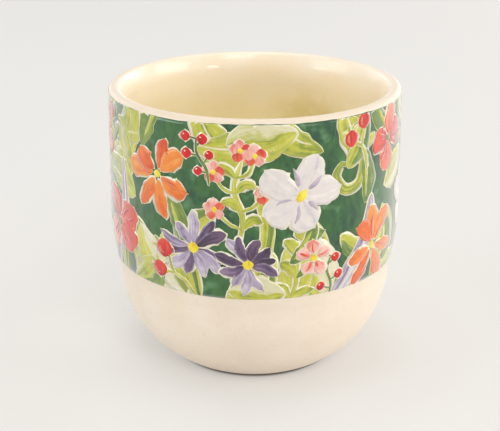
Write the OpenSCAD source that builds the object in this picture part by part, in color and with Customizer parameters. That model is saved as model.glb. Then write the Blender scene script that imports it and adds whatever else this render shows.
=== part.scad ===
// Hand-thrown ceramic tumbler with a rounded bowl base, a slightly barrelled wall
// and a painted band that runs from just under the lip to the top of the bare bowl.
// The band has a green ground with flowers, leaves and blades as plain fields of colour over it.
// It is one fired piece. It stands on its foot ring, with its axis along Z.

/* [Wall] */
// Overall height, foot to lip
height = 88; // [80:1:100]
// Outside diameter just under the lip, over the paint
rim_d = 90; // [86:0.5:94]
// Outside diameter where the wall is widest, over the paint
belly_d = 91.2; // [89:0.2:96]
// Height at which the wall is widest
belly_height = 50; // [44:1:58]
// Radius of the long arc between the bowl and the widest place
shoulder_round = 88; // [60:1:140]
// Wall thickness
wall = 5.2; // [4.4:0.1:6]

/* [Lip] */
// Width of the lip
lip_width = 4; // [3.4:0.1:4.3]
// Radius that rounds each edge of the lip
lip_round = 1.5; // [1:0.1:1.6]
// Radius of the long inner curve from the wall up to the lip
lip_flare = 16; // [10:1:24]

/* [Bowl base] */
// Diameter at which the bowl turns upright, over the paint
bowl_d = 86.6; // [84:0.2:90]
// Height at which the bowl turns upright
bowl_height = 30; // [27:0.5:33]
// Diameter of the foot
foot_d = 50.6; // [46:0.2:56]
// Thickness of the floor above the foot
floor_thickness = 6; // [5:0.5:9]
// Width of the ring that the foot stands on
foot_ring = 4; // [3:0.5:6]
// Depth of the hollow inside the foot ring
foot_hollow = 1.5; // [0.5:0.25:2.5]

/* [Painted band] */
// Height of the band's lower edge
band_low = 34.7; // [33.5:0.1:40]
// Bare strip between the band's upper edge and the top of the lip
band_margin = 1.6; // [1.6:0.1:6]
// Thickness of the ground and the motifs together
paint = 0.25; // [0.15:0.05:0.4]
// Thickness of the motifs over the ground
motif_paint = 0.1; // [0.05:0.05:0.1]
// Scale of the motifs against their drawn size
motif_scale = 1; // [0.8:0.05:1.1]

/* [Hidden] */

CREAM = [0.94, 0.88, 0.78];
GREEN = [0.22, 0.42, 0.30];
WHITE = [0.93, 0.91, 0.89];
ORANGE = [0.94, 0.53, 0.22];
RED = [0.84, 0.25, 0.19];
PLUM = [0.45, 0.36, 0.47];
LILAC = [0.74, 0.69, 0.76];
LEAF = [0.74, 0.78, 0.33];

// Facets of a turned surface, of an arc in its section and of a motif's edge
TURN_FN = 180;
ARC_FN = 360;
DRAW_FN = 64;

rim_r = rim_d / 2;
belly_r = belly_d / 2;
bowl_r = bowl_d / 2;
foot_r = foot_d / 2;
band_high = height - band_margin;
band_height = band_high - band_low;

// The bowl is one arc, upright at bowl_height, that meets the foot at the table
bowl_reach = bowl_r - foot_r;
bowl_round = (bowl_reach * bowl_reach + bowl_height * bowl_height) / (2 * bowl_reach);

// The wall between the bowl and the widest place is one long arc through both
shoulder_rise = belly_height - bowl_height;
shoulder_reach = belly_r - bowl_r;
shoulder_chord = norm([shoulder_reach, shoulder_rise]);
shoulder_depth = sqrt(shoulder_round * shoulder_round - shoulder_chord * shoulder_chord / 4);
shoulder_x = (bowl_r + belly_r) / 2 - shoulder_depth * shoulder_rise / shoulder_chord;
shoulder_z = (bowl_height + belly_height) / 2 + shoulder_depth * shoulder_reach / shoulder_chord;

// The inside bowl runs from the floor to the upright wall in one arc
inner_round = bowl_height - floor_thickness;

// The lip: centres of its two roundings, and the long inner curve that touches the inner one
lip_z = height - lip_round;
lip_out = rim_r - paint - lip_round;
lip_in = rim_r - lip_width + lip_round;
inner_r = rim_r - wall;
flare_x = inner_r + lip_flare;
flare_span = lip_flare - lip_round;
flare_rise = sqrt(flare_span * flare_span - (flare_x - lip_in) * (flare_x - lip_in));
flare_z = lip_z - flare_rise;

// Where the long inner curve meets the rounding: from its centre, past the rounding's own
flare_end_x = lip_in - lip_round * (flare_x - lip_in) / flare_span;
flare_end_z = lip_z + lip_round * flare_rise / flare_span;

// Radius of the outside at a height in the band, over the paint
function outside_r(z) =
    z < belly_height
    ? shoulder_x + sqrt(shoulder_round * shoulder_round - (z - shoulder_z) * (z - shoulder_z))
    : belly_r + (rim_r - belly_r) * (z - belly_height) / (lip_z - belly_height);

// Motifs on the band, as [turn, rise, size, tilt]: degrees round the tumbler to the right from
// the middle of the front, share of the band's height, size as a share of that height, and
// degrees leaning to the right. No motif touches another.
WHITE_FLOWERS = [
    [16, 0.61, 0.46, 20], [80, 0.40, 0.43, 0], [142, 0.66, 0.46, 0], [205, 0.27, 0.43, 40],
    [264, 0.26, 0.39, 20]
];
ORANGE_FLOWERS = [
    [-38, 0.68, 0.46, 10], [49, 0.26, 0.44, 0], [115, 0.30, 0.44, 20], [180, 0.74, 0.44, 30],
    [248, 0.72, 0.46, 0]
];
RED_FLOWERS = [
    [-62, 0.30, 0.42, 30], [59, 0.79, 0.35, 0], [162, 0.27, 0.40, 10], [239, 0.25, 0.36, 0],
    [-79, 0.75, 0.26, 0]
];
PLUM_FLOWERS = [
    [-23, 0.30, 0.36, 0], [-2, 0.22, 0.33, 20], [87, 0.81, 0.30, 10], [114, 0.80, 0.31, 0],
    [207, 0.79, 0.33, 15]
];
LEAVES = [
    [-61, 0.77, 0.34, 10], [-42, 0.12, 0.26, 60], [-12, 0.90, 0.38, 74], [-11, 0.64, 0.32, -20],
    [15.5, 0.10, 0.27, 76], [37, 0.84, 0.31, 6], [41, 0.59, 0.24, 50], [76, 0.10, 0.24, 78],
    [100.5, 0.80, 0.27, 4], [138, 0.32, 0.24, 60], [140, 0.12, 0.34, -74], [161.5, 0.84, 0.28, 0],
    [225, 0.66, 0.34, -20], [266.5, 0.80, 0.26, 0]
];
BLADES = [
    [-79.5, 0.27, 0.46, 2], [30, 0.26, 0.52, 14], [97.5, 0.30, 0.54, -2], [181, 0.27, 0.48, 4],
    [222, 0.27, 0.44, 2]
];

// Shares of a motif's size
PETAL_REACH = 0.29;
PETAL_ROUND = 0.21;
SLIM_LEAF = 0.2;
SLIM_BLADE = 0.07;
// How deep in the wall a motif's field is rooted, as a share of the wall
BURIED = 0.7;

// How far the arcs of the bowl and of the wall run past the place where they cross. The bowl's
// outer arc runs twice as far, so that the clay stays whole where bowl and wall differ in width.
OVERLAP = 3;
// How far the taper starts inside the end of the wall's arc, so that it crosses the arc
SEAM = 0.002;

// A part of the profile plane between two heights, wide enough for any radius
module slab(low, high) {
    translate([0, low])
        square([max(belly_r, bowl_r) + wall, high - low]);
}

// Profile of the wall moved inwards by the inset: the long arc up to the widest place, and the
// slight taper from there to the rim's radius at the given height
module wall_profile(inset, top_z) {
    low_z = bowl_height - OVERLAP;
    lean = (belly_r - SEAM - rim_r) / (top_z - belly_height);
    intersection() {
        union() {
            translate([shoulder_x - inset, shoulder_z])
                circle(r = shoulder_round, $fn = ARC_FN);
            slab(belly_height, top_z);
        }
        polygon([
            [0, low_z],
            [rim_r - inset + lean * (top_z - low_z), low_z],
            [rim_r - inset, top_z],
            [0, top_z]
        ]);
    }
}

// Profile of a solid that follows the outside, moved inwards by the inset
module outside_profile(inset) {
    // bowl
    intersection() {
        translate([bowl_r - bowl_round - inset, bowl_height])
            circle(r = bowl_round, $fn = ARC_FN);
        slab(0, bowl_height + 2 * OVERLAP);
    }
    wall_profile(inset, lip_z);
}

// Profile of the space inside, open at the top
module inside_profile() {
    corner_x = bowl_r - wall - inner_round;
    // rounded corner between the floor and the wall, and the floor itself
    intersection() {
        union() {
            translate([corner_x, bowl_height])
                circle(r = inner_round, $fn = ARC_FN);
            translate([0, floor_thickness])
                square([corner_x, inner_round]);
        }
        slab(floor_thickness, bowl_height + OVERLAP);
    }
    wall_profile(wall, flare_z);
    // on past the lip, whose inner curve stands in this space
    translate([0, flare_z])
        square([lip_in, height + wall - flare_z]);
}

// Profile of the lip: its two rounded edges, and the long inner curve below them
module lip_profile() {
    for (centre = [lip_in, lip_out])
        translate([centre, lip_z])
            circle(r = lip_round, $fn = ARC_FN);
    translate([lip_in, lip_z - lip_round])
        square([lip_out - lip_in, 2 * lip_round]);
    intersection() {
        translate([flare_x, flare_z])
            circle(r = lip_flare, $fn = ARC_FN);
        polygon([
            [lip_in, flare_z],
            [lip_in, lip_z],
            [flare_end_x, flare_end_z],
            [inner_r, flare_end_z],
            [inner_r, flare_z]
        ]);
    }
}

// Hollow under the foot, with a rounded corner
module foot_hollow_profile() {
    flat_r = foot_r - foot_ring - foot_hollow;
    translate([0, -foot_hollow])
        square([flat_r, 2 * foot_hollow]);
    translate([flat_r, 0])
        circle(r = foot_hollow, $fn = ARC_FN);
}

// The fired clay under the paint, in section
module body_profile() {
    difference() {
        union() {
            difference() {
                outside_profile(paint);
                inside_profile();
            }
            lip_profile();
        }
        foot_hollow_profile();
    }
}

// The ground of the band all round, from mid wall out to its surface
module ground() {
    color(GREEN)
        rotate_extrude($fn = TURN_FN)
            intersection() {
                difference() {
                    outside_profile(motif_paint);
                    outside_profile(wall / 2);
                }
                slab(band_low, band_high);
            }
}

// Stands flat shapes on the band, square to it, from within the wall out past its surface.
// The shapes take their size from $size.
module on_band(places) {
    for (place = places) {
        z = band_low + place[1] * band_height;
        $size = place[2] * band_height * motif_scale;
        rotate([0, 0, place[0]])
            translate([0, BURIED * wall - outside_r(z), z])
                rotate([90, 0, 0])
                    linear_extrude(height = 2 * wall)
                        rotate(-place[3])
                            children();
    }
}

// A field of one colour: the flat shapes as paint over the ground, rooted in the wall
module field(colour, places) {
    color(colour)
        intersection() {
            rotate_extrude($fn = TURN_FN)
                intersection() {
                    outside_profile(0);
                    slab(band_low, band_high);
                }
            on_band(places)
                children();
        }
}

// Round petals set round a middle
module flower_shape(petals) {
    for (k = [0 : petals - 1])
        rotate(k * 360 / petals)
            translate([0, $size * PETAL_REACH])
                circle(r = $size * PETAL_ROUND * 5 / petals, $fn = DRAW_FN);
    circle(r = $size * PETAL_REACH, $fn = DRAW_FN);
}

// Pointed at both ends, with two round sides
module slim_shape(slim) {
    half_w = $size * slim;
    arc_r = ($size * $size / 4 + half_w * half_w) / (2 * half_w);
    intersection_for (side = [-1, 1])
        translate([side * (arc_r - half_w), 0])
            circle(r = arc_r, $fn = DRAW_FN * 3);
}

module tumbler() {
    union() {
        color(CREAM)
            rotate_extrude($fn = TURN_FN)
                body_profile();
        ground();
    }
    field(LEAF, LEAVES)
        slim_shape(SLIM_LEAF);
    field(LILAC, BLADES)
        slim_shape(SLIM_BLADE);
    field(WHITE, WHITE_FLOWERS)
        flower_shape(5);
    field(ORANGE, ORANGE_FLOWERS)
        flower_shape(7);
    field(RED, RED_FLOWERS)
        flower_shape(4);
    field(PLUM, PLUM_FLOWERS)
        flower_shape(6);
}

tumbler();
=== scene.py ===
import math
import random

import bmesh
import bpy
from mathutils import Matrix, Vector


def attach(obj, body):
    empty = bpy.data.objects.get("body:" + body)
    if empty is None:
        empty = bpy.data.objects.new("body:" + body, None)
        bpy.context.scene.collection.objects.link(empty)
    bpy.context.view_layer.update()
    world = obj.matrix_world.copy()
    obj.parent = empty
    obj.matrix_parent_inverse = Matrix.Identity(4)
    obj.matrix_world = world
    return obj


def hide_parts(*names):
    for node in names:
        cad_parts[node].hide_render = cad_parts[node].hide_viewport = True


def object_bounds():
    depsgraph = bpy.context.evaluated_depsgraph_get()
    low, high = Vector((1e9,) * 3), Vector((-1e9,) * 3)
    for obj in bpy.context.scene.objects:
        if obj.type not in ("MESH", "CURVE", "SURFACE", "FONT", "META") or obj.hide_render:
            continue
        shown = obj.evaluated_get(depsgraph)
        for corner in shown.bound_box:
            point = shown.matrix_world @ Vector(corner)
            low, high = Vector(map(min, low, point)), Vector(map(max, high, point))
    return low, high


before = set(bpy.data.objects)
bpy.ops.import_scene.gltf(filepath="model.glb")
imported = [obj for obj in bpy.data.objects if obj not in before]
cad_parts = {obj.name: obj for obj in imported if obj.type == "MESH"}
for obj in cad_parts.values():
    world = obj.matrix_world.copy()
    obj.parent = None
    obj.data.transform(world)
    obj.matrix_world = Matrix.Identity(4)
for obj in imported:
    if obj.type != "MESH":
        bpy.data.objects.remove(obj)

cad_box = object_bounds()

# Sizes of the tumbler, in metres. Height and belly come from the frame.
MM = 0.001
HEIGHT = cad_box[1].z - cad_box[0].z
BELLY_R = (cad_box[1].x - cad_box[0].x) / 2
BELLY_Z = 50 * MM
RIM_R = 45 * MM
BOWL_R = 43.3 * MM
BOWL_Z = 30 * MM
FOOT_R = 25.3 * MM
WALL = 5.2 * MM
LIP_WIDTH = 4 * MM
LIP_ROUND = 1.5 * MM
LIP_FLARE = 16 * MM
FLOOR = 6 * MM
FOOT_RING = 4 * MM
FOOT_HOLLOW = 1.5 * MM
FOOT_EDGE = 0.9 * MM
PAINT = 0.25 * MM
BAND_LOW = 34.7 * MM
BAND_HIGH = 87.0 * MM
BAND_FRAY = 0.3 * MM

BOWL_ROUND = ((BOWL_R - FOOT_R) ** 2 + BOWL_Z ** 2) / (2 * (BOWL_R - FOOT_R))
INNER_ROUND = BOWL_Z - FLOOR
LIP_Z = HEIGHT - LIP_ROUND

# The lip's inner curve: a long arc that touches the inner rounding of the lip
LIP_IN = RIM_R - LIP_WIDTH + LIP_ROUND
FLARE_X = RIM_R - WALL + LIP_FLARE
FLARE_TURN = math.degrees(math.acos((FLARE_X - LIP_IN) / (LIP_FLARE - LIP_ROUND)))
FLARE_Z = LIP_Z - (LIP_FLARE - LIP_ROUND) * math.sin(math.radians(FLARE_TURN))

# How far the thrown surface strays from the true form, always inwards
RING_DEPTH = 0.03 * MM
OUT_OF_ROUND = 0.10 * MM
RIM_DROP = 0.25 * MM


def outside(z):
    """Radius of the painted surface at a height."""
    if z < BOWL_Z:
        return BOWL_R - BOWL_ROUND + math.sqrt(BOWL_ROUND ** 2 - (BOWL_Z - z) ** 2)
    if z < BELLY_Z:
        left = (BELLY_Z - z) / (BELLY_Z - BOWL_Z)
        return BELLY_R - (BELLY_R - BOWL_R) * left ** 2
    if z < LIP_Z:
        return BELLY_R - (BELLY_R - RIM_R) * (z - BELLY_Z) / (LIP_Z - BELLY_Z)
    return RIM_R - LIP_ROUND + math.sqrt(max(0, LIP_ROUND ** 2 - (z - LIP_Z) ** 2))


def out_of_round(angle, z):
    """How far the hand-thrown wall lies inside the true radius at a place."""
    return OUT_OF_ROUND * (1 + math.sin(2 * angle + 0.9 + z / (30 * MM))) / 2


def throwing_ring(angle, z):
    """Depth of the rings that the thrower's fingers leave in the clay."""
    return RING_DEPTH * (1 + math.sin(z / (0.82 * MM) + 0.8 * math.sin(angle + 0.4))) / 2


def on_wall(angle, z, lift=0.0):
    """Point of the paint over the outer wall, whose rings it fills; angle 0 faces the camera."""
    r = outside(z) - PAINT - out_of_round(angle, z) + lift
    return (r * math.sin(angle), -r * math.cos(angle), z)


# The clay body

def arc(cx, cz, radius, start, end, steps):
    """Points of an arc in the profile plane, angles in degrees from the outward direction."""
    turns = [math.radians(start + (end - start) * i / steps) for i in range(steps + 1)]
    return [(cx + radius * math.cos(t), cz + radius * math.sin(t)) for t in turns]


def line(a, b, steps):
    """Points from a to b, without a itself."""
    return [
        (a[0] + (b[0] - a[0]) * i / steps, a[1] + (b[1] - a[1]) * i / steps)
        for i in range(1, steps + 1)
    ]


def clay_profile():
    """Section of the cup from the middle of the foot, up the outside and down the inside."""
    hollow_r = FOOT_R - FOOT_RING - FOOT_HOLLOW
    bowl_x = BOWL_R - BOWL_ROUND
    bowl_r = BOWL_ROUND - PAINT
    # the sponged edge of the foot is a small arc that touches the bowl's and the table
    edge_x = bowl_x + math.sqrt((bowl_r - FOOT_EDGE) ** 2 - (BOWL_Z - FOOT_EDGE) ** 2)
    start = -math.degrees(math.asin((BOWL_Z - FOOT_EDGE) / (bowl_r - FOOT_EDGE)))
    outer = [(0.0, FOOT_HOLLOW)]
    outer += line((0.0, FOOT_HOLLOW), (hollow_r, FOOT_HOLLOW), 16)
    outer += arc(hollow_r, 0.0, FOOT_HOLLOW, 90, 0, 8)[1:]
    outer += line(outer[-1], (edge_x, 0.0), 5)
    outer += arc(edge_x, FOOT_EDGE, FOOT_EDGE, -90, start, 6)[1:]
    outer += arc(bowl_x, BOWL_Z, bowl_r, start, 0, 44)[1:]
    heights = [BOWL_Z + (LIP_Z - BOWL_Z) * i / 56 for i in range(1, 57)]
    outer += [(outside(z) - PAINT, z) for z in heights]
    outer += arc(RIM_R - PAINT - LIP_ROUND, LIP_Z, LIP_ROUND, 0, 90, 9)[1:]
    inner = arc(LIP_IN, LIP_Z, LIP_ROUND, 90, 180 - FLARE_TURN, 7)
    inner += arc(FLARE_X, FLARE_Z, LIP_FLARE, 180 - FLARE_TURN, 180, 12)[1:]
    inner += line(inner[-1], (BELLY_R - WALL, BELLY_Z), 30)
    inner += [(outside(z) - WALL, z) for z in reversed(heights) if BOWL_Z < z < BELLY_Z]
    inner += arc(BOWL_R - WALL - INNER_ROUND, BOWL_Z, INNER_ROUND, 0, -90, 36)
    inner += line(inner[-1], (0.0, FLOOR), 16)
    return outer, inner


def rim_drop(angle):
    """The lip isn't quite level."""
    wave = 0.6 * math.sin(angle + 2.2) + 0.4 * math.sin(3 * angle)
    return RIM_DROP * (1 + wave) / 2


def clay_point(angle, r, z, inside):
    """A profile point turned to an angle, with the marks of throwing."""
    depth = out_of_round(angle, z) + throwing_ring(angle, z)
    if inside:
        depth = -RING_DEPTH * math.sin(z / (1.1 * MM) + angle) * (z > FLOOR + MM)
    fade = min(1.0, max(0.0, (z - 3 * MM) / (6 * MM)))
    r = max(0.0, r - depth * fade)
    top = max(0.0, (z - (HEIGHT - 12 * MM)) / (12 * MM))
    return (r * math.sin(angle), -r * math.cos(angle), z - rim_drop(angle) * top)


def clay_body(segments=208):
    """The whole cup as one closed turned mesh; the inside is its second material."""
    outer, inner = clay_profile()
    rings = [(r, z, False) for r, z in outer[1:]] + [(r, z, True) for r, z in inner[:-1]]
    verts = [(0.0, 0.0, outer[0][1])]
    for r, z, inside in rings:
        for i in range(segments):
            verts.append(clay_point(2 * math.pi * i / segments, r, z, inside))
    verts.append((0.0, 0.0, inner[-1][1]))
    faces = []
    marks = []
    for i in range(segments):
        j = (i + 1) % segments
        faces.append((0, 1 + j, 1 + i))
        marks.append(0)
        for k in range(len(rings) - 1):
            a = 1 + k * segments
            b = a + segments
            faces.append((a + i, a + j, b + j, b + i))
            marks.append(1 if rings[k][2] else 0)
        last = 1 + (len(rings) - 1) * segments
        faces.append((last + i, last + j, len(verts) - 1))
        marks.append(1)
    mesh = bpy.data.meshes.new("clay")
    mesh.from_pydata(verts, [], faces)
    mesh.polygons.foreach_set("use_smooth", [True] * len(faces))
    mesh.polygons.foreach_set("material_index", marks)
    return link("clay", mesh)


def link(name, mesh):
    mesh.update()
    piece = bpy.data.objects.new(name, mesh)
    bpy.context.scene.collection.objects.link(piece)
    return piece


# Node materials

# Heights between which the foot is wiped down to buff clay, whose darkness is also painted shade where the
# foot meets the floor, and between which the lip is painted darker as shade
FOOT_CLAY_AND_SHADE = (1.4 * MM, 0.7 * MM)
LIP_PAINTED_SHADE = (86.4 * MM, 87.4 * MM)
# Heights between which the inside is painted yellower downwards, as warm light bounced round the cup, and
# the middle and reach of its olive patch
BOUNCE_YELLOW_HEIGHTS = (92 * MM, 60 * MM)
OLIVE_PLACE = (19 * MM, 34 * MM, 62 * MM)
OLIVE_REACH = (20 * MM, 4 * MM)
# How much the paint turns away where it starts to pale, and where it is palest
PALING = (0.16, 0.62)


class Finish:
    """A Principled material with short helpers for its nodes."""

    def __init__(self, name, **constants):
        self.material = bpy.data.materials.new(name)
        self.material.use_nodes = True
        self.tree = self.material.node_tree
        self.shader = self.tree.nodes["Principled BSDF"]
        self.coords = self.tree.nodes.new("ShaderNodeTexCoord").outputs["Object"]
        for socket, value in constants.items():
            self.shader.inputs[socket.replace("_", " ")].default_value = value

    def wire(self, value, socket):
        if isinstance(value, bpy.types.NodeSocket):
            self.tree.links.new(value, socket)
        else:
            socket.default_value = value

    def noise(self, size, detail=3.0, vector=None, stretch=(1, 1, 1), roughness=0.5):
        """Noise of features about as large as size, in metres for object coordinates."""
        mapping = self.tree.nodes.new("ShaderNodeMapping")
        mapping.inputs["Scale"].default_value = tuple(f / size for f in stretch)
        self.wire(vector or self.coords, mapping.inputs["Vector"])
        node = self.tree.nodes.new("ShaderNodeTexNoise")
        node.inputs["Scale"].default_value = 1.0
        node.inputs["Detail"].default_value = detail
        node.inputs["Roughness"].default_value = roughness
        self.wire(mapping.outputs["Vector"], node.inputs["Vector"])
        return node.outputs["Fac"]

    def math(self, operation, a, b=0.0, clamp=False):
        node = self.tree.nodes.new("ShaderNodeMath")
        node.operation = operation
        node.use_clamp = clamp
        self.wire(a, node.inputs[0])
        self.wire(b, node.inputs[1])
        return node.outputs["Value"]

    def span(self, value, low, high, to_low=0.0, to_high=1.0):
        """Value mapped from one span to another, smoothly and clamped."""
        node = self.tree.nodes.new("ShaderNodeMapRange")
        node.interpolation_type = "SMOOTHSTEP"
        self.wire(value, node.inputs["Value"])
        for name, number in zip(("From Min", "From Max", "To Min", "To Max"), (low, high, to_low, to_high)):
            node.inputs[name].default_value = number
        return node.outputs["Result"]

    def mix(self, factor, a, b):
        node = self.tree.nodes.new("ShaderNodeMix")
        node.data_type = "RGBA"
        self.wire(factor, node.inputs["Factor"])
        self.wire(a, node.inputs[6])
        self.wire(b, node.inputs[7])
        return node.outputs[2]

    def attribute(self, name):
        node = self.tree.nodes.new("ShaderNodeAttribute")
        node.attribute_name = name
        return node.outputs["Fac"]

    def vector(self, x, y, z):
        node = self.tree.nodes.new("ShaderNodeCombineXYZ")
        for value, socket in zip((x, y, z), node.inputs):
            self.wire(value, socket)
        return node.outputs["Vector"]

    def axis(self, name):
        """One object coordinate, in metres; Z is the height above the table."""
        node = self.tree.nodes.new("ShaderNodeSeparateXYZ")
        self.wire(self.coords, node.inputs[0])
        return node.outputs[name]

    def distance(self, place):
        """Distance from a place, in metres."""
        node = self.tree.nodes.new("ShaderNodeVectorMath")
        node.operation = "DISTANCE"
        self.wire(self.coords, node.inputs[0])
        node.inputs[1].default_value = place
        return node.outputs["Value"]

    def relief(self, value, distance):
        node = self.tree.nodes.new("ShaderNodeBump")
        node.inputs["Strength"].default_value = 1.0
        node.inputs["Distance"].default_value = distance
        self.wire(value, node.inputs["Height"])
        self.wire(node.outputs["Normal"], self.shader.inputs["Normal"])


def rgb(red, green, blue):
    """Linear colour from the usual 0 to 255 values."""
    parts = [c / 255 for c in (red, green, blue)]
    return tuple(((c + 0.055) / 1.055) ** 2.4 if c > 0.04 else c / 12.92 for c in parts) + (1.0,)


def clay_finish(name, light, dark, deep, roughness, coat):
    """Cream glaze over buff clay: clouds, faint specks and a fine grain."""
    f = Finish(name, Coat_Weight=coat, Coat_Roughness=0.08, Sheen_Weight=0.1, Sheen_Roughness=0.4)
    clouds = f.noise(14 * MM, 3)
    base = f.mix(f.span(clouds, 0.2, 0.8), dark, light)
    fine = f.noise(1.1 * MM, 2)
    base = f.mix(f.span(fine, 0.5, 0.75, 0.0, 0.15), base, deep)
    specks = f.noise(0.9 * MM, 1, roughness=0.4)
    base = f.mix(f.span(specks, 0.74, 0.82, 0.0, 0.22), base, rgb(170, 132, 92))
    f.wire(f.span(clouds, 0.2, 0.8, roughness * 0.85, roughness * 1.15), f.shader.inputs["Roughness"])
    f.relief(f.noise(0.7 * MM, 3), 0.012 * MM)
    return f, base


def outside_finish():
    """The bare bowl and lip; the lip is painted a darker tan as shade, and the foot is wiped down to buff
    clay, also painted shade where it meets the floor.
    """
    f, base = clay_finish(
        "clay_outside", rgb(244, 230, 212), rgb(238, 221, 200), rgb(218, 192, 160), 0.48, 0.05
    )
    height = f.axis("Z")
    # Painted shade: the lip turns a deeper tan, toning down the light that falls on it
    base = f.mix(f.span(height, *LIP_PAINTED_SHADE, 0.0, 0.24), base, rgb(212, 190, 150))
    # The foot's lowest edge is buff clay, and its darkness is also painted shade where the foot meets the
    # floor
    base = f.mix(f.span(height, *FOOT_CLAY_AND_SHADE), base, rgb(158, 124, 92))
    f.wire(base, f.shader.inputs["Base Color"])
    return f


def inside_finish():
    """The glazed inside: pale at the lip, painted yellower lower down as warm bounced light, with an olive
    patch.
    """
    f, base = clay_finish(
        "clay_inside", rgb(248, 236, 216), rgb(247, 229, 202), rgb(232, 206, 162), 0.36, 0.45
    )
    # Painted bounce light: the inside turns yellower lower down
    sway = f.math("MULTIPLY", f.noise(9 * MM, 2), 6 * MM)
    bounce_yellow = f.span(f.math("ADD", f.axis("Z"), sway), *BOUNCE_YELLOW_HEIGHTS)
    base = f.mix(f.math("MULTIPLY", bounce_yellow, 0.75), base, rgb(255, 243, 192))
    # An olive patch on the back of the inside wall
    patches = f.span(f.noise(5 * MM, 2), 0.3, 0.6, 0.25, 0.6)
    olive_patch = f.math("MULTIPLY", f.span(f.distance(OLIVE_PLACE), *OLIVE_REACH), patches)
    base = f.mix(olive_patch, base, rgb(212, 188, 100))
    f.wire(base, f.shader.inputs["Base Color"])
    return f


def glossy_finish(name):
    """Paint under a clear glaze, which pales where it turns away."""
    f = Finish(name, Coat_Weight=0.9, Coat_Roughness=0.2, Sheen_Roughness=0.4, Specular_IOR_Level=0.2)
    slant = f.tree.nodes.new("ShaderNodeLayerWeight").outputs["Facing"]
    f.wire(f.span(slant, *PALING), f.shader.inputs["Sheen Weight"])
    return f


def paint_finish(name, light, middle, dark):
    """Brushed underglaze: streaks along the stroke, a wash from end to end, and thinner edges."""
    f = glossy_finish(name)
    across = f.attribute("across")
    along = f.attribute("along")
    tone = f.attribute("tone")
    place = f.vector(
        f.math("MULTIPLY", across, 2.4), f.math("MULTIPLY", along, 1.1), f.math("MULTIPLY", tone, 40.0)
    )
    brush = f.noise(1.0, 2, vector=place)
    clouds = f.noise(2.4 * MM, 3)
    lean = f.math("SUBTRACT", tone, 0.5)
    wash = f.math("MULTIPLY", f.math("SUBTRACT", along, 0.5), f.math("MULTIPLY", lean, 0.9))
    value = f.math("ADD", f.math("MULTIPLY", brush, 0.6), f.math("MULTIPLY", clouds, 0.4))
    value = f.math("ADD", value, f.math("ADD", wash, f.math("MULTIPLY", lean, 0.12)))
    base = f.mix(f.span(value, 0.36, 0.50), dark, middle)
    base = f.mix(f.span(value, 0.52, 0.68, 0.0, 0.8), base, light)
    base = f.mix(f.span(f.math("ABSOLUTE", across), 0.6, 1.0, 0.0, 0.35), base, light)
    f.wire(base, f.shader.inputs["Base Color"])
    f.wire(f.span(clouds, 0.2, 0.8, 0.34, 0.46), f.shader.inputs["Roughness"])
    f.relief(brush, 0.01 * MM)
    return f


def ground_finish():
    """The green ground: brushed in patches, thinner and lighter in places."""
    f = glossy_finish("green_ground")
    patches = f.noise(11 * MM, 2)
    sway = f.math("MULTIPLY", f.noise(6 * MM, 2), 5.0 * MM)
    bent = f.vector(
        f.math("ADD", f.axis("X"), sway),
        f.math("ADD", f.axis("Y"), sway),
        f.math("SUBTRACT", f.axis("Z"), sway),
    )
    strokes = f.noise(1.8 * MM, 3, vector=bent, stretch=(1.0, 1.0, 0.4))
    thin = f.noise(5 * MM, 2)
    base = f.mix(f.span(patches, 0.36, 0.62), rgb(24, 72, 48), rgb(50, 98, 46))
    base = f.mix(f.span(strokes, 0.38, 0.72, 0.0, 0.4), base, rgb(76, 126, 66))
    base = f.mix(f.span(strokes, 0.46, 0.28, 0.0, 0.5), base, rgb(24, 62, 42))
    base = f.mix(f.span(thin, 0.56, 0.74, 0.0, 0.55), base, rgb(108, 156, 108))
    f.wire(base, f.shader.inputs["Base Color"])
    f.wire(f.span(strokes, 0.2, 0.8, 0.34, 0.44), f.shader.inputs["Roughness"])
    f.relief(strokes, 0.015 * MM)
    return f


# Painted strokes. A place on the band is (s, z) in millimetres: s runs along the wall to the
# right, from the side that faces the camera, and z is the height above the table.
WRAP_R = 45.3
AROUND = round(2 * math.pi * WRAP_R)
# Over the clay, in metres: the ground, the first and the last coat, and the hidden underside of them all
GROUND_LIFT = 0.035 * MM
FIRST_LIFT = 0.05 * MM
TOP_LIFT = 0.24 * MM
SUNK = -0.10 * MM
# Bare clay left round a stroke, and the spacing of points along a stroke, across it and across its
# outline, all in millimetres
HALO = 0.42
ALONG_STEP = 0.55
ACROSS_STEP = 1.0
BARE_STEP = 1.8
PAINTER_SEED = 11


def add_pad(store, rows, lift, tone):
    """A thin closed pad: its top is a grid of (s, z) places, and under it lies a plain strip."""
    verts, faces, smooth, values = store
    n = len(rows)
    m = len(rows[0])
    first = len(verts)
    under = first + n * m
    places = []
    for i, row in enumerate(rows):
        places += [(i, 2 * j / (m - 1) - 1, lift, place) for j, place in enumerate(row)]
    for i, row in enumerate(rows):
        places += [(i, side, SUNK, row[side]) for side in (0, -1)]
    for i, across, height, (s, z) in places:
        verts.append(on_wall(s / WRAP_R, z * MM, height))
        values["along"].append(i / (n - 1))
        values["across"].append(across)
        values["tone"].append(tone)
    for i in range(n - 1):
        left = first + i * m
        right = left + m - 1
        low = under + 2 * i
        for a in range(left, right):
            faces.append((a, a + 1, a + 1 + m, a + m))
        faces.append((low, low + 2, low + 3, low + 1))
        faces.append((left, left + m, low + 2, low))
        faces.append((right + m, right, low + 1, low + 3))
        smooth.extend([True] * (m - 1) + [False] * 3)
    last = under + 2 * (n - 1)
    faces.append(tuple(range(first + m - 1, first - 1, -1)) + (under, under + 1))
    faces.append(tuple(range(under - m, under)) + (last + 1, last))
    smooth.extend((False, False))


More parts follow.
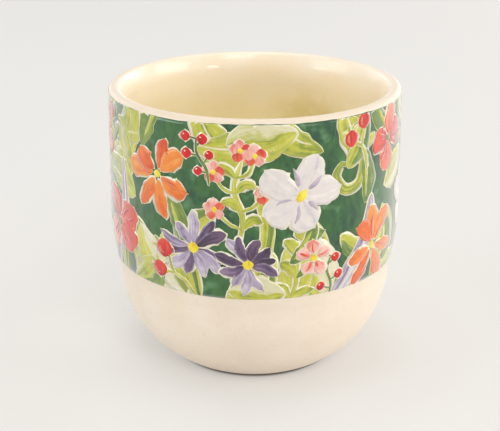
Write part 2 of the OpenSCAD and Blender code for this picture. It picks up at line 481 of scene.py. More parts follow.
def spline(points, t):
    """Point of a smooth curve through the points, and t runs from 0 to 1."""
    n = len(points) - 1
    k = min(int(t * n), n - 1)
    u = t * n - k
    p1 = points[k]
    p2 = points[k + 1]
    p0 = points[k - 1] if k > 0 else (2 * p1[0] - p2[0], 2 * p1[1] - p2[1])
    p3 = points[k + 2] if k + 2 <= n else (2 * p2[0] - p1[0], 2 * p2[1] - p1[1])
    return tuple(
        0.5 * (2 * b + (c - a) * u + (2 * a - 5 * b + 4 * c - d) * u * u + (3 * b - a - 3 * c + d) * u ** 3)
        for a, b, c, d in zip(p0, p1, p2, p3)
    )


def swell(t, lean, fullness):
    """Width along a stroke: lean over 1 puts the widest place nearer the tip."""
    return math.sin(math.pi * min(1, max(0, t)) ** lean) ** fullness


def stroke_grid(points, width, lean, fullness, notch, wobble, phases, step, extra=0.0):
    """Places of one brush stroke along the points, widened on every side by extra."""
    length = sum(math.dist(a, b) for a, b in zip(points, points[1:]))
    reach = extra / length
    rows = max(13, math.ceil(length / ALONG_STEP) + 1)
    columns = 2 * max(1, math.ceil(width / step / 2)) + 1
    grid = []
    for i in range(rows):
        turn = (1 - math.cos(math.pi * i / (rows - 1))) / 2
        t = -reach + turn * (1 + 2 * reach)
        inner = min(1.0, max(0.0, t))
        x, y = spline(points, inner)
        ahead = spline(points, min(1.0, inner + 0.01))
        behind = spline(points, max(0.0, inner - 0.01))
        dx = ahead[0] - behind[0]
        dy = ahead[1] - behind[1]
        size = math.hypot(dx, dy) or 1.0
        dx /= size
        dy /= size
        x += dx * (t - inner) * length
        y += dy * (t - inner) * length
        full = width / 2 * swell(t, lean, fullness)
        cap = 1.0
        if extra:
            near = min(1.0, turn / (reach / (1 + 2 * reach)), (1 - turn) / (reach / (1 + 2 * reach)))
            cap = math.sqrt(1 - (1 - near) ** 2)
        row = []
        for j in range(columns):
            u = 2 * j / (columns - 1) - 1
            a, b = phases[:2] if u < 0 else phases[2:]
            edge = 1 + wobble * (math.sin(5.3 * inner + a) + 0.7 * math.sin(13 * inner + b)
                                 + 0.35 * math.sin(29 * inner + a + b))
            margin = max(0.2, 1 + 0.55 * math.sin(7 * inner + b) + 0.35 * math.sin(19 * inner + a))
            half = max(0.03, full * edge + extra * cap * margin)
            ragged = wobble * 0.25 * width * math.sin(2.5 * u + phases[0]) * inner ** 3
            back = notch * length * math.cos(math.pi * u / 2) ** 2 * inner ** 3 + ragged
            row.append((x + dy * u * half - dx * back, y - dx * u * half - dy * back))
        grid.append(row)
    return grid


class Painter:
    """Lays strokes of every colour on the band, each over whatever it covers."""

    def __init__(self, seed):
        self.rng = random.Random(seed)
        self.top = {}
        self.bare = []
        self.waiting = []
        self.laid = []

    def jitter(self, amount):
        return self.rng.uniform(-amount, amount)

    def stroke(self, colour, points, width, lean=1.0, fullness=0.6, halo=HALO, notch=0.0, wobble=0.08):
        """One brush stroke of the motif in hand, with bare clay left round it."""
        phases = [self.rng.uniform(0, 6.28) for _ in range(4)]
        tone = self.rng.random()
        form = (points, width, lean, fullness, notch, wobble, phases)
        self.waiting.append((colour, stroke_grid(*form, ACROSS_STEP), tone))
        if halo:
            self.bare.append(stroke_grid(*form, BARE_STEP, halo * self.rng.uniform(0.4, 1.5)))

    def dot(self, colour, centre, radius, halo=0.0):
        x, z = centre
        spine = [(x, z - radius), (x, z + radius)]
        self.stroke(colour, spine, 2 * radius, fullness=0.62, halo=halo, wobble=0.04)

    def cells(self, grids):
        """The millimetre cells of the band that these grids cover."""
        found = set()
        for grid in grids:
            for row in grid:
                for a, b in zip(row, row[1:]):
                    steps = math.ceil(math.dist(a, b) / 0.8)
                    for i in range(steps + 1):
                        s = a[0] + (b[0] - a[0]) * i / steps
                        z = a[1] + (b[1] - a[1]) * i / steps
                        found.add((round(s) % AROUND, round(z)))
        return found

    def over(self, cells):
        """The lowest coat that lies clear of all that has been laid on these cells."""
        beside = ((0, 0), (1, 0), (-1, 0), (0, 1), (0, -1))
        return 1 + max(self.top.get(((i + a) % AROUND, j + b), 0) for i, j in cells for a, b in beside)

    def lay(self):
        """Lays the motif in hand: first its bare outlines as one, then its strokes in turn."""
        groups = [("bare", self.bare, 0.5)] if self.bare else []
        groups += [(colour, [grid], tone) for colour, grid, tone in self.waiting]
        for colour, grids, tone in groups:
            cells = self.cells(grids)
            coat = self.over(cells)
            self.top.update((cell, coat) for cell in cells)
            self.laid += [(colour, grid, coat, tone) for grid in grids]
        self.bare = []
        self.waiting = []


def frame_at(s, z, size, tilt):
    """Turns a motif's own coordinates, where it is 1 tall, into places on the band."""
    c = math.cos(math.radians(tilt))
    d = math.sin(math.radians(tilt))
    return lambda x, y: (s + size * (x * c + y * d), z + size * (y * c - x * d))


def ray(at, angle, start, end, bend=0.0):
    """A spine outwards from a flower's middle, bent sideways."""
    a = math.radians(angle)
    middle = (start + end) / 2
    return [
        at(start * math.sin(a), start * math.cos(a)),
        at(middle * math.sin(a) + bend * math.cos(a), middle * math.cos(a) - bend * math.sin(a)),
        at(end * math.sin(a), end * math.cos(a)),
    ]


def streaks(p, colour, at, angle, start, end, spread, width, count=2):
    """Soft brush lines inside a petal, fanning out from its foot."""
    for k in range(count):
        lean = (k + 0.5) / count * 2 - 1
        turn = angle + spread * lean + p.jitter(spread / 2)
        reach = end * (1 - 0.2 * abs(lean)) * (1 + p.jitter(0.2))
        p.stroke(colour, ray(at, turn, start, reach, p.jitter(0.03)), width * (1 + p.jitter(0.3)),
                 halo=0, lean=0.8, wobble=0.15)


# Motifs

def anemone(p, at, size):
    """An open white flower with a yellow middle."""
    for k in range(5):
        angle = 72 * k + p.jitter(12)
        end = 0.5 * (1 + p.jitter(0.16))
        p.stroke("white", ray(at, angle, 0.02, end, p.jitter(0.08)), 0.37 * size * (1 + p.jitter(0.16)),
                 lean=1.25, fullness=0.5, notch=p.rng.uniform(-0.08, 0.16), wobble=0.10)
    for k in range(5):
        if p.rng.random() < 0.7:
            streaks(p, "lilac", at, 72 * k + 30 + p.jitter(14), 0.12, 0.31, 4, 0.05 * size, 1)
    p.stroke("yellow", [at(-0.02, -0.08), at(0.03, 0.09)], 0.11 * size, halo=0, wobble=0.12)


def cosmos(p, at, size):
    """An orange flower of seven loose petals."""
    for k in range(7):
        angle = 51.4 * k + p.jitter(10)
        end = 0.5 * (1 + p.jitter(0.2))
        colour = p.rng.choice(("orange", "orange", "orange_deep"))
        p.stroke(colour, ray(at, angle, 0.07, end, p.jitter(0.07)), 0.21 * size * (1 + p.jitter(0.2)),
                 lean=1.3, fullness=0.5, notch=p.rng.uniform(-0.1, 0.16), wobble=0.12)
    for k in range(7):
        if p.rng.random() < 0.6:
            streaks(p, "orange_deep", at, 51.4 * k, 0.1, 0.36, 4, 0.045 * size, 1)
    p.dot("yellow", at(0, 0), 0.05 * size)


def poppy(p, at, size):
    """A red flower of four broad petals, the outer ones paler."""
    for k, angle in enumerate((10, 190, 95, 280)):
        colour = "coral" if k < 2 else "red"
        turn = angle + p.jitter(14)
        end = 0.5 * (1 + p.jitter(0.14))
        p.stroke(colour, ray(at, turn, 0.05, end, p.jitter(0.07)), 0.46 * size * (1 + p.jitter(0.14)),
                 lean=1.2, fullness=0.5, notch=p.rng.uniform(0.02, 0.2), wobble=0.12)
        streaks(p, "red" if k < 2 else "coral", at, turn, 0.14, end * 0.8, 22, 0.05 * size)
    p.dot("leaf_deep", at(0, 0), 0.06 * size, halo=0.3)
    for k in range(5):
        a = math.radians(72 * k + p.jitter(14))
        p.dot("plum_deep", at(0.12 * math.sin(a), 0.12 * math.cos(a)), 0.018 * size)


def blossom(p, at, size):
    """A small pink flower."""
    for k in range(5):
        angle = 72 * k + p.jitter(9)
        p.stroke("pink", ray(at, angle, 0.10, 0.5 * (1 + p.jitter(0.12))), 0.32 * size,
                 lean=1.3, fullness=0.5, notch=p.rng.uniform(0, 0.14), wobble=0.12)
        streaks(p, "coral", at, angle, 0.12, 0.34, 8, 0.06 * size, 1)
    p.dot("yellow", at(0, 0), 0.09 * size)


def aster(p, at, size):
    """A plum flower of many slim petals."""
    for k in range(11):
        angle = 32.7 * k + p.jitter(7)
        end = 0.5 * (1 + p.jitter(0.14))
        colour = p.rng.choice(("plum", "plum", "plum_deep", "plum_pale"))
        p.stroke(colour, ray(at, angle, 0.06, end, p.jitter(0.06)), 0.16 * size * (1 + p.jitter(0.2)),
                 lean=1.25, fullness=0.5, notch=p.rng.uniform(-0.1, 0.1), wobble=0.12)
    p.dot("yellow", at(0, 0), 0.085 * size, halo=0.2)


def berries(p, at, size, count=5):
    """A twig with berries on short stalks."""
    twig = [(0, 0), (0.06, 0.35), (-0.02, 0.7), (0.08, 1.0)]
    p.stroke("leaf_deep", [at(*q) for q in twig], 0.9, fullness=0.3, halo=0.3)
    tips = []
    for k in range(count):
        side = 1 if k % 2 else -1
        root = spline(twig, 0.25 + 0.72 * k / (count - 1))
        tips.append((root[0] + side * (0.2 + p.jitter(0.03)), root[1] + 0.11 + p.jitter(0.04)))
        p.stroke("leaf_deep", [at(*root), at(*tips[-1])], 0.6, fullness=0.3, halo=0.2)
    for tip in tips:
        x, y = at(*tip)
        p.dot("berry", (x, y), 1.45 + p.jitter(0.2), halo=0.4)
        p.dot("bare", (x - 0.45, y + 0.5), 0.25)


def leaf(p, at, size):
    """A bowed leaf, darker along one side, and here and there with a bare rib."""
    curl = 0.08 + p.jitter(0.05)
    spine = [at(0, 0), at(curl, 0.35), at(curl, 0.7), at(-0.02, 1.0)]
    p.stroke("leaf", spine, (0.42 + p.jitter(0.06)) * size, lean=0.85, fullness=0.7, wobble=0.12)
    if p.rng.random() < 0.5:
        shade = [at(0.06, 0.06), at(curl + 0.12, 0.36), at(curl + 0.09, 0.64), at(0.0, 0.9)]
        p.stroke("leaf_deep", shade, 0.20 * size, halo=0, lean=0.9, fullness=0.7, wobble=0.2)
    if p.rng.random() < 0.4:
        rib = [at(0, 0.08), at(curl * 0.7, 0.35), at(curl * 0.7, 0.62), at(0, 0.8)]
        p.stroke("bare", rib, 0.03 * size, halo=0, fullness=0.5)


def pale_leaf(p, at, size):
    """A leaf left half bare."""
    p.stroke("leaf_pale", [at(0, 0), at(0.05, 0.5), at(0, 1.0)], 0.5 * size, fullness=0.7, wobble=0.15)
    p.stroke("leaf", [at(0.01, 0.03), at(-0.1, 0.4), at(-0.08, 0.72), at(0, 0.97)], 0.27 * size,
             halo=0, lean=0.9, fullness=0.65, wobble=0.18)


def olive_leaf(p, at, size):
    """A deep leaf that fades into the ground."""
    p.stroke("leaf_deep", [at(0, 0), at(0.1, 0.35), at(0.06, 0.7), at(-0.06, 1.0)], 0.34 * size,
             lean=0.9, fullness=0.65, halo=0.2, wobble=0.14)
    p.stroke("leaf", [at(0.02, 0.1), at(0.02, 0.45), at(0.0, 0.8)], 0.08 * size, halo=0, wobble=0.2)


def blade(p, at, size):
    """A long strap leaf, bowed to one side, in pale violet."""
    bow = 0.12 + p.jitter(0.04)
    width = 5.2 + p.jitter(1.0)
    spine = [at(0, 0), at(bow * 0.6, 0.33), at(bow, 0.66), at(bow * 0.4, 1.0)]
    p.stroke("lilac", spine, width, lean=0.75, fullness=0.5)
    for side, colour in ((-1.0, "lilac_deep"), (0.6, "white")):
        shade = [(x + side * (1 - k / 4), y) for k, (x, y) in enumerate(spine)]
        p.stroke(colour, shade, 1.5, halo=0, wobble=0.3)


def grass(p, at, size):
    """A long green strap leaf."""
    bow = 0.1 + p.jitter(0.05)
    spine = [at(0, 0), at(bow * 0.6, 0.33), at(bow, 0.66), at(bow * 0.4, 1.0)]
    p.stroke("leaf", spine, 4.6 + p.jitter(0.8), lean=0.75, fullness=0.5, wobble=0.1)
    p.stroke("leaf_deep", [(x + 0.8, y) for x, y in spine], 1.8, halo=0, wobble=0.3)


def spray(p, at, size, pairs=4):
    """A stem with pairs of small leaflets."""
    twig = [(0, 0), (0.07, 0.4), (0.02, 0.75), (0.10, 1.0)]
    p.stroke("leaf", [at(*q) for q in twig], 1.3, fullness=0.3, lean=0.9, halo=0.4)
    for k in range(pairs):
        x, y = spline(twig, 0.2 + 0.76 * k / (pairs - 1))
        reach = 0.27 * (1 - 0.4 * k / pairs)
        for side in (-1, 1):
            end = (x + side * reach, y + 0.17 + p.jitter(0.04))
            middle = ((x + end[0]) / 2, (y + end[1]) / 2 + 0.035)
            colour = p.rng.choice(("leaf", "leaf", "leaf_deep"))
            p.stroke(colour, [at(x, y), at(*middle), at(*end)], 0.14 * size * (1 + p.jitter(0.2)),
                     lean=1.15, halo=0.4, wobble=0.14)


def hip(p, at, size):
    """A pair of round red hips with small crowns, on one forked stalk."""
    p.stroke("leaf", [at(0, -0.8), at(0.08, -0.4), at(0, 0.0)], 1.2, fullness=0.3, halo=0.3)
    for side, reach in ((-1, 0.34), (1, 0.62)):
        x = 0.30 * side
        y = reach
        fork = [at(0, -0.05), at(x * 0.4, y * 0.3), at(x, y - 0.2)]
        p.stroke("leaf", fork, 0.9, fullness=0.3, halo=0.25)
        for turn in (-40, 0, 40):
            a = math.radians(turn + p.jitter(8))
            tip = at(x + 0.42 * math.sin(a), y + 0.42 * math.cos(a))
            p.stroke("leaf", [at(x, y + 0.1), tip], 0.10 * size, halo=0.2, wobble=0.12)
        p.dot("red", at(x, y), (0.25 + p.jitter(0.02)) * size, halo=HALO)
        shine = [at(x - 0.10, y - 0.10), at(x - 0.13, y + 0.02), at(x - 0.06, y + 0.14)]
        p.stroke("coral", shine, 0.09 * size, halo=0, wobble=0.2)


def floret(p, at, centre, size):
    """Five round petals about as large as a berry."""
    x, y = centre
    for k in range(5):
        a = math.radians(72 * k + p.jitter(12))
        p.dot("coral" if k % 2 else "pink", at(x + 0.062 * math.sin(a), y + 0.062 * math.cos(a)),
              (0.052 + p.jitter(0.006)) * size, halo=0.3)
    p.dot("yellow", at(x, y), 0.028 * size)


def sprig(p, at, size):
    """A branched stem with small florets at its tips and leaflets on the way."""
    stem = [(0, 0), (0.05, 0.3), (-0.03, 0.6), (0.04, 0.88)]
    p.stroke("leaf", [at(*q) for q in stem], 1.4, fullness=0.3, lean=0.8, wobble=0.15)
    tips = [(0.03, 0.98)]
    for k, (share, side) in enumerate(((0.22, -1), (0.42, 1), (0.62, -1), (0.80, 1))):
        x, y = spline(stem, share)
        tips.append((x + side * (0.27 - 0.03 * k), y + 0.19 + p.jitter(0.03)))
        twig = [at(x, y), at(x + side * 0.12, y + 0.05), at(*tips[-1])]
        p.stroke("leaf", twig, 0.9, fullness=0.3, halo=0.25)
        leaflet = [at(x, y), at(x - side * 0.10, y + 0.09), at(x - side * 0.20, y + 0.07)]
        p.stroke("leaf", leaflet, 0.10 * size, halo=0.3, lean=1.1, wobble=0.15)
    for tip in tips:
        floret(p, at, tip, size)


def tendril(p, at, size):
    """A stem that ends in an open curl."""
    path = [(0, 0), (-0.06, 0.25), (0.04, 0.5), (0.02, 0.72), (0.14, 0.92), (0.34, 0.92), (0.42, 0.74),
            (0.32, 0.62), (0.22, 0.70)]
    p.stroke("leaf", [at(*q) for q in path], 0.12 * size, fullness=0.35, lean=0.55, wobble=0.2)
    for side, root in ((-1, (0.03, 0.48)), (1, (-0.04, 0.28))):
        x, y = root
        p.stroke("leaf", [at(x, y), at(x + 0.14 * side, y + 0.07), at(x + 0.24 * side, y + 0.02)],
                 0.13 * size, halo=0.25, wobble=0.14)


MOTIFS = {
    "anemone": anemone, "cosmos": cosmos, "poppy": poppy, "blossom": blossom, "aster": aster,
    "berries": berries, "leaf": leaf, "pale_leaf": pale_leaf, "olive_leaf": olive_leaf,
    "blade": blade, "grass": grass, "spray": spray, "hip": hip, "sprig": sprig, "tendril": tendril,
}

# The painting, back to front: kind, s, z, size, tilt in degrees clockwise
PAINTING = [
    ("tendril", -46, 91, 25, 168), ("tendril", 30, 92, 27, 166), ("tendril", 79, 91, 26, 190),
    ("tendril", 104, 90, 26, 168), ("tendril", 168, 90, 28, 190), ("tendril", 208, 90, 26, 172),
    ("spray", -53, 60, 26, -10), ("spray", 8, 29, 24, 12), ("spray", 122, 56, 24, 12),
    ("leaf", -40, 61, 21, -74), ("leaf", -17, 80, 21, 84), ("leaf", -43, 33, 22, 46),
    ("leaf", -12, 62, 17, 214), ("leaf", 28, 72, 19, 20), ("leaf", 26, 52, 17, 120),
    ("leaf", 43, 34, 21, 76), ("leaf", 84, 62, 20, 62), ("leaf", 97, 36, 20, -64),
    ("leaf", 130, 64, 20, -52), ("leaf", 150, 85, 19, -112), ("leaf", 165, 60, 20, 54),
    ("leaf", 190, 36, 20, -66), ("leaf", 188, 84, 20, 104), ("olive_leaf", -22, 50, 16, -14),
    ("olive_leaf", 10, 46, 14, 34), ("olive_leaf", 35, 60, 17, 0), ("olive_leaf", 138, 36, 17, -30),
    ("olive_leaf", 199, 52, 18, -20), ("pale_leaf", -30, 50, 18, 150), ("pale_leaf", 9, 36, 17, -86),
    ("pale_leaf", 12, 84, 20, -98), ("pale_leaf", 45, 63, 18, 64), ("pale_leaf", -53, 37, 16, -60),
    ("pale_leaf", 82, 85, 18, 118), ("pale_leaf", 118, 36, 18, -70), ("pale_leaf", 170, 40, 19, 60),
    ("pale_leaf", 198, 86, 18, -110), ("blade", -57, 32, 40, 12), ("blade", 24, 31, 34, 22),
    ("blade", 57, 31, 42, 6), ("blade", 78, 33, 44, 2), ("blade", 101, 31, 38, -10),
    ("blade", 130, 31, 40, 6), ("blade", 158, 31, 38, 10), ("blade", 182, 32, 32, -8),
    ("blade", 201, 31, 36, 10), ("sprig", -5, 51, 29, 0), ("sprig", 76, 48, 26, -12),
    ("sprig", 128, 56, 27, 10), ("sprig", 181, 58, 26, -6), ("aster", 127, 84, 16, 10),
    ("aster", 177, 80, 14, 12), ("aster", 69, 77, 16, 12), ("aster", 91, 76, 16, 0),
    ("aster", 165, 76, 17, 15), ("aster", -18, 50, 20, 0), ("aster", -2, 46, 18, 20),
    ("berries", -13, 69, 14, -20), ("berries", 23, 32, 15, -6), ("berries", 79, 42, 15, 12),
    ("berries", 123, 62, 15, -12), ("berries", 154, 56, 15, 18), ("berries", 201, 36, 15, -10),
    ("hip", -25, 41, 11, -48), ("hip", 33, 78, 10, -18), ("hip", -59, 75, 12, -10),
    ("hip", 108, 46, 11, 20), ("hip", 143, 56, 11, -14), ("hip", 194, 56, 11, 16),
    ("blossom", -67, 63, 13, 0), ("blossom", 17, 47, 12, 0), ("blossom", 99, 83, 14, 0),
    ("blossom", 147, 42, 14, 0), ("blossom", 179, 47, 12, 0), ("poppy", -63, 74, 14, 0),
    ("cosmos", -30, 70, 24, 10), ("anemone", 13, 66, 24, 20), ("poppy", -50, 50, 22, 30),
    ("cosmos", 39, 46, 24, 0), ("anemone", 64, 55, 22, 0), ("poppy", 47, 77, 18, 0),
    ("cosmos", 92, 50, 23, 20), ("anemone", 113, 69, 24, 0), ("poppy", 129, 47, 21, 10),
    ("cosmos", 143, 73, 23, 30), ("anemone", 163, 48, 22, 40), ("poppy", 191, 47, 19, 0),
    ("cosmos", 197, 72, 24, 0), ("anemone", 211, 46, 20, 20),
]


# Leaves behind the painting, from the lower and from the upper edge
RISING = 29
HANGING = 21


def undergrowth(rng):
    """Leaves that rise from the lower edge and hang from the upper one, behind the painting."""
    growth = []
    risers = ("grass", "leaf", "pale_leaf", "grass", "leaf", "olive_leaf")
    hangers = ("leaf", "pale_leaf", "leaf", "olive_leaf")
    for k in range(RISING):
        s = AROUND * (k + rng.uniform(-0.25, 0.25)) / RISING
        kind = risers[k % len(risers)]
        size = rng.uniform(30, 40) if kind == "grass" else rng.uniform(18, 25)
        growth.append((kind, s, rng.uniform(30, 34), size, rng.uniform(-32, 32)))
    for k in range(HANGING):
        s = AROUND * (k + rng.uniform(-0.3, 0.3)) / HANGING
        growth.append((hangers[k % len(hangers)], s, rng.uniform(87, 93), rng.uniform(17, 25),
                       180 + rng.uniform(-65, 65)))
    rng.shuffle(growth)
    return growth


# Paints: light, middle and dark of each colour
COLOURS = {
    "bare": (rgb(248, 240, 216), rgb(240, 230, 200), rgb(222, 216, 178)),
    "white": (rgb(240, 232, 226), rgb(228, 219, 214), rgb(206, 197, 204)),
    "lilac": (rgb(222, 208, 212), rgb(194, 178, 190), rgb(156, 140, 160)),
    "lilac_deep": (rgb(176, 164, 186), rgb(144, 132, 162), rgb(112, 102, 136)),
    "leaf": (rgb(218, 214, 112), rgb(190, 190, 66), rgb(142, 154, 54)),
    "leaf_deep": (rgb(148, 164, 76), rgb(106, 134, 58), rgb(72, 106, 54)),
    "leaf_pale": (rgb(236, 230, 206), rgb(222, 216, 176), rgb(200, 198, 118)),
    "orange": (rgb(246, 168, 84), rgb(238, 136, 48), rgb(226, 104, 32)),
    "orange_deep": (rgb(240, 130, 50), rgb(228, 100, 32), rgb(212, 76, 26)),
    "red": (rgb(228, 82, 56), rgb(212, 44, 32), rgb(180, 28, 26)),
    "coral": (rgb(240, 144, 114), rgb(228, 94, 64), rgb(212, 62, 42)),
    "pink": (rgb(248, 210, 196), rgb(240, 172, 156), rgb(228, 130, 116)),
    "plum": (rgb(156, 130, 158), rgb(108, 86, 116), rgb(72, 56, 84)),
    "plum_deep": (rgb(116, 90, 116), rgb(78, 58, 84), rgb(54, 40, 62)),
    "plum_pale": (rgb(218, 206, 216), rgb(176, 160, 182), rgb(126, 110, 138)),
    "berry": (rgb(236, 40, 30), rgb(212, 12, 14), rgb(170, 6, 14)),
    "yellow": (rgb(250, 234, 84), rgb(242, 216, 40), rgb(222, 186, 30)),
}


def painted_band():
    """Every colour of the painting, and the bare outlines, as pads on the wall."""
    p = Painter(PAINTER_SEED)
    for kind, s, z, size, tilt in undergrowth(p.rng) + PAINTING:
        MOTIFS[kind](p, frame_at(s, z, size, tilt), size)
        p.lay()
    step = (TOP_LIFT - FIRST_LIFT) / max(coat for _, _, coat, _ in p.laid)
    pieces = []
    for colour, tones in COLOURS.items():
        store = ([], [], [], {"along": [], "across": [], "tone": []})
        for name, grid, coat, tone in p.laid:
            if name == colour:
                add_pad(store, grid, FIRST_LIFT + coat * step, tone)
        pieces.append(colour_piece("paint_" + colour, store, paint_finish("paint_" + colour, *tones)))
    return pieces


def colour_piece(name, store, finish):
    """One mesh of all the pads of a colour, cut off where the band ends."""
    verts, faces, smooth, values = store
    mesh = bpy.data.meshes.new(name)
    mesh.from_pydata(verts, [], faces)
    mesh.polygons.foreach_set("use_smooth", smooth)
    for attribute, numbers in values.items():
        mesh.attributes.new(attribute, "FLOAT", "POINT").data.foreach_set("value", numbers)
    bm = bmesh.new()
    bm.from_mesh(mesh)
    for height, side in ((BAND_LOW, -1), (BAND_HIGH - BAND_FRAY, 1)):
        whole = bm.verts[:] + bm.edges[:] + bm.faces[:]
        place = (0, 0, height)
        outwards = (0, 0, side)
        bmesh.ops.bisect_plane(bm, geom=whole, plane_co=place, plane_no=outwards, clear_outer=True)
        bmesh.ops.holes_fill(bm, edges=[e for e in bm.edges if e.is_boundary], sides=0)
    bm.to_mesh(mesh)
    bm.free()
    mesh.materials.append(finish.material)
    return link(name, mesh)


def ground_edge(angle):
    """Upper edge of the green ground, brushed by hand."""
    slow = math.sin(3 * angle + 0.5) + 0.7 * math.sin(7 * angle + 2.0)
    quick = 0.5 * math.sin(19 * angle) + 0.4 * math.sin(41 * angle + 1.0) + 0.3 * math.sin(67 * angle)
    return BAND_HIGH - 0.25 * MM + 0.12 * MM * slow + 0.10 * MM * quick


def green_ground(segments=320, rows=48):
    """The ground as a thin closed ring round the wall."""
    verts = []
    for lift in (GROUND_LIFT, SUNK):
        for k in range(rows + 1):
            for i in range(segments):
                angle = 2 * math.pi * i / segments
                z = BAND_LOW + (ground_edge(angle) - BAND_LOW) * k / rows
                verts.append(on_wall(angle, z, lift))
    under = (rows + 1) * segments
    faces = []
    smooth = []
    for i in range(segments):
        j = (i + 1) % segments
        for k in range(rows):
            a = k * segments
            b = a + segments
            faces.append((a + i, a + j, b + j, b + i))
            faces.append((under + b + i, under + b + j, under + a + j, under + a + i))
            smooth += [True, False]
        top = rows * segments
        faces.append((top + i, top + j, under + top + j, under + top + i))
        faces.append((j, i, under + i, under + j))
        smooth += [False, False]
    mesh = bpy.data.meshes.new("green_ground")
    mesh.from_pydata(verts, [], faces)
    mesh.polygons.foreach_set("use_smooth", smooth)
    mesh.materials.append(ground_finish().material)
    return link("green_ground", mesh)


# The room: floor, light and camera

# Strength of the surroundings as light, and as what the camera and the gloss see
WORLD_LIGHT = 0.43
WORLD_SEEN = 0.84
WORLD_TINT = (1.0, 0.985, 0.96, 1)
# The floor's half side, its colour at the tumbler and behind it, and the pale tone that evens it out
FLOOR_REACH = 3.0
FLOOR_NEAR = (0.74, 0.72, 0.685, 1)
FLOOR_FAR = (0.74, 0.72, 0.69, 1)
FLOOR_GLOW = rgb(252, 250, 246)
# Share of the pale tone, and the distances between which it takes over from the shadow's part
FLOOR_EVEN = 0.32
FLOOR_OPENS = (0.7, 1.1)
# Colour of the painted shadow line where the foot meets the floor, and how far it reaches
FLOOR_PAINTED_SHADOW = (0.16, 0.12, 0.10, 1)
PAINTED_SHADOW_REACH = 1.2 * MM


def pale_floor():
    """A floor that looks evenly pale to the camera and still holds the tumbler's shadow, with a dark line
    of painted shadow under the foot.
    """
    mesh = bpy.data.meshes.new("floor")
    corners = [(x * FLOOR_REACH, y * FLOOR_REACH, 0) for x, y in ((-1, -1), (1, -1), (1, 1), (-1, 1))]
    mesh.from_pydata(corners, [], [(0, 1, 2, 3)])
    floor = link("floor", mesh)
    f = Finish("floor", Roughness=0.9, Specular_IOR_Level=0.1)
    tint = f.mix(f.span(f.axis("Y"), 0.0, 0.6), FLOOR_NEAR, FLOOR_FAR)
    glow = f.tree.nodes.new("ShaderNodeEmission")
    glow.inputs["Color"].default_value = FLOOR_GLOW
    rays = f.tree.nodes.new("ShaderNodeLightPath").outputs
    # Painted shadow: the floor darkens where occlusion finds the foot close by
    hidden = f.tree.nodes.new("ShaderNodeAmbientOcclusion")
    hidden.samples = 12
    hidden.inputs["Distance"].default_value = PAINTED_SHADOW_REACH
    near = f.span(hidden.outputs["AO"], 0.6, 0.0)
    f.wire(f.mix(near, tint, FLOOR_PAINTED_SHADOW), f.shader.inputs["Base Color"])
    # The pale tone gives way where the shadow is painted, so that it shows
    even = f.math("MULTIPLY", f.math("SUBTRACT", 1.0, near), FLOOR_EVEN)
    even = f.math("MAXIMUM", even, f.span(f.distance((0, 0, 0)), *FLOOR_OPENS))
    seen = f.math("MULTIPLY", f.math("MAXIMUM", rays["Is Camera Ray"], rays["Is Glossy Ray"]), even)
    blend = f.tree.nodes.new("ShaderNodeMixShader")
    f.wire(seen, blend.inputs[0])
    f.wire(f.shader.outputs[0], blend.inputs[1])
    f.wire(glow.outputs[0], blend.inputs[2])
    f.wire(blend.outputs[0], f.tree.nodes["Material Output"].inputs["Surface"])
    mesh.materials.append(f.material)


def soft_box(name, place, aim, width, height, watts, colour=(1, 1, 1)):
    lamp = bpy.data.lights.new(name, "AREA")
    lamp.shape = "RECTANGLE"
    lamp.size = width
    lamp.size_y = height
    lamp.energy = watts
    lamp.color = colour
    lamp_object = bpy.data.objects.new(name, lamp)
    lamp_object.location = place
    lamp_object.rotation_euler = (Vector(aim) - Vector(place)).to_track_quat("-Z", "Y").to_euler()
    lamp_object.visible_camera = False
    bpy.context.scene.collection.objects.link(lamp_object)


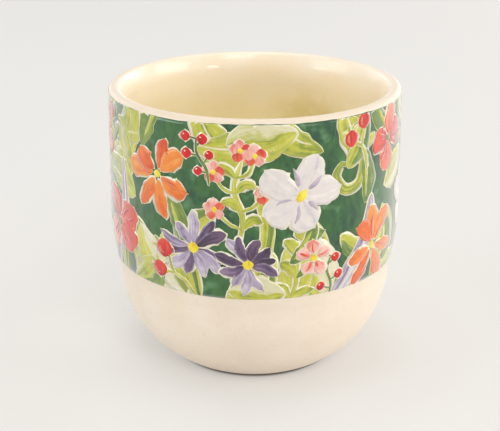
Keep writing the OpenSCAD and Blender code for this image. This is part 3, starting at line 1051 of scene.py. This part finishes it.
def studio():
    world = bpy.data.worlds.new("studio")
    bpy.context.scene.world = world
    world.use_nodes = True
    tree = world.node_tree
    back = tree.nodes["Background"]
    back.inputs["Color"].default_value = WORLD_TINT
    rays = tree.nodes.new("ShaderNodeLightPath").outputs
    seen = tree.nodes.new("ShaderNodeMath")
    seen.operation = "MAXIMUM"
    tree.links.new(rays["Is Camera Ray"], seen.inputs[0])
    tree.links.new(rays["Is Glossy Ray"], seen.inputs[1])
    strength = tree.nodes.new("ShaderNodeMapRange")
    strength.inputs["To Min"].default_value = WORLD_LIGHT
    strength.inputs["To Max"].default_value = WORLD_SEEN
    tree.links.new(seen.outputs["Value"], strength.inputs["Value"])
    tree.links.new(strength.outputs["Result"], back.inputs["Strength"])
    middle = (0, 0, 0.05)
    rim = (0, 0.038, 0.084)
    cool = (0.84, 0.92, 1.0)
    soft_box("key", (0.5, -1.7, 1.6), middle, 1.0, 0.9, 12.8)
    soft_box("top", (-0.1, 0.1, 1.6), middle, 0.8, 0.8, 6.4)
    soft_box("side_left", (-1.2, -0.3, 0.45), middle, 0.8, 0.7, 5.5, cool)
    soft_box("side_right", (1.2, -0.15, 0.36), middle, 0.8, 0.6, 6.4)
    soft_box("back_left", (-0.9, 1.1, 0.45), middle, 1.0, 0.8, 3.0, cool)
    soft_box("back_right", (0.9, 1.1, 0.36), middle, 1.0, 0.6, 5.5)
    soft_box("window_left", (0.53, -0.64, 0.195), rim, 0.15, 0.065, 0.55)
    soft_box("window_right", (-0.74, -0.38, 0.19), rim, 0.12, 0.045, 0.35)
    bpy.context.scene.view_settings.view_transform = "Standard"


# The camera, fitted to the rim and the band in the photo: place in metres, pitch in radians,
# and focal length in pixels of the 500 pixel wide picture
CAMERA_PLACE = (-0.00145, -0.3289, 0.1681)
CAMERA_PITCH = 0.3611
FOCAL_PIXELS = 1095.3
PICTURE_WIDTH = 500
SENSOR_WIDTH = 36


def camera():
    data = bpy.data.cameras.new("camera")
    data.sensor_width = SENSOR_WIDTH
    data.lens = FOCAL_PIXELS / PICTURE_WIDTH * SENSOR_WIDTH
    data.clip_start = 0.01
    cam = bpy.data.objects.new("camera", data)
    cam.location = CAMERA_PLACE
    cam.rotation_euler = (math.pi / 2 - CAMERA_PITCH, 0, 0)
    bpy.context.scene.collection.objects.link(cam)
    bpy.context.scene.camera = cam


camera()
studio()
pale_floor()

clay = clay_body()
clay.data.materials.append(outside_finish().material)
clay.data.materials.append(inside_finish().material)
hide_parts("tumbler")

for piece in [clay, green_ground()] + painted_band():
    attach(piece, "root")
